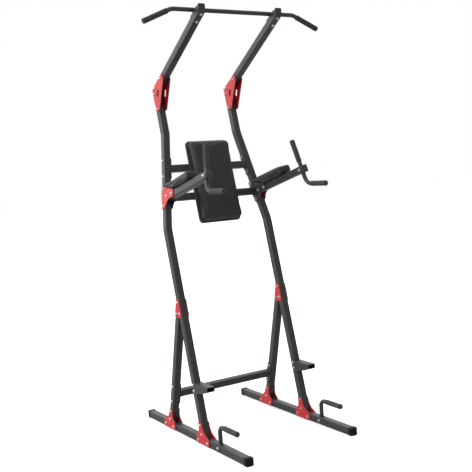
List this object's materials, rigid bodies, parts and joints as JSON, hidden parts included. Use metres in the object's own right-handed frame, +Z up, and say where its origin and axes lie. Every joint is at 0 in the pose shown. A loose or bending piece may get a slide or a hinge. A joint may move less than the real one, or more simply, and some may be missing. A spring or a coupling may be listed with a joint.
{
  "type": "power tower",
  "caption": "Free-standing steel exercise tower with an angled pull-up bar, padded backrest and forearm supports, dip handles, foot steps and low push-up handles.",
  "frame": {"origin": "on the floor, at the middle of the footprint of the two floor beams", "axes": "+Z up; -Y is the front, the way the user faces; +X and -X are the two equal sides"},
  "size_m": [1.04, 1.03, 2.1837],
  "materials": {
    "frame_paint": "dark graphite powder coat, satin, fine orange-peel texture",
    "bracket_paint": "bright red powder coat, semi-gloss, with zinc-plated bolts",
    "end_cap": "black moulded plastic, matt",
    "foam_grip": "black foam rubber, matt",
    "pad_vinyl": "black padded vinyl, soft sheen",
    "backing_board": "black-stained plywood behind the padding"
  },
  "bodies": {
    "root": {"backrest_board": "backing_board", "backrest_pad": "pad_vinyl", "dip_grip_left": "foam_grip", "dip_grip_right": "foam_grip", "floor_beam_left": "frame_paint", "floor_beam_right": "frame_paint", "forearm_pad_left": "pad_vinyl", "forearm_pad_right": "pad_vinyl", "forearm_tube_cap_left": "end_cap", "forearm_tube_cap_right": "end_cap", "forearm_tube_left": "frame_paint", "forearm_tube_right": "frame_paint", "front_beam_cap_left": "end_cap", "front_beam_cap_right": "end_cap", "hand_grip_left": "foam_grip", "hand_grip_right": "foam_grip", "handle_bar_left": "frame_paint", "handle_bar_right": "frame_paint", "inner_brace_plate_left": "bracket_paint", "inner_brace_plate_right": "bracket_paint", "inner_forearm_plate_left": "frame_paint", "inner_forearm_plate_right": "frame_paint", "inner_front_foot_plate_left": "bracket_paint", "inner_front_foot_plate_right": "bracket_paint", "inner_rear_foot_plate_left": "bracket_paint", "inner_rear_foot_plate_right": "bracket_paint", "inner_top_gusset_left": "bracket_paint", "inner_top_gusset_right": "bracket_paint", "lower_back_crossbar": "frame_paint", "lower_crossbar": "frame_paint", "outer_brace_plate_left": "bracket_paint", "outer_brace_plate_right": "bracket_paint", "outer_forearm_plate_left": "bracket_paint", "outer_forearm_plate_right": "bracket_paint", "outer_front_foot_plate_left": "bracket_paint", "outer_front_foot_plate_right": "bracket_paint", "outer_rear_foot_plate_left": "bracket_paint", "outer_rear_foot_plate_right": "bracket_paint", "outer_top_gusset_left": "bracket_paint", "outer_top_gusset_right": "bracket_paint", "pull_up_bar": "frame_paint", "pull_up_grip_left": "foam_grip", "pull_up_grip_right": "foam_grip", "push_up_grip_left": "foam_grip", "push_up_grip_right": "foam_grip", "push_up_handle_left": "frame_paint", "push_up_handle_right": "frame_paint", "rear_beam_cap_left": "end_cap", "rear_beam_cap_right": "end_cap", "rear_leg_left": "frame_paint", "rear_leg_right": "frame_paint", "step_left": "frame_paint", "step_right": "frame_paint", "top_arm_cap_left": "end_cap", "top_arm_cap_right": "end_cap", "top_arm_left": "frame_paint", "top_arm_right": "frame_paint", "upper_back_crossbar": "frame_paint", "upright_left": "frame_paint", "upright_right": "frame_paint"}
  },
  "joints": []
}
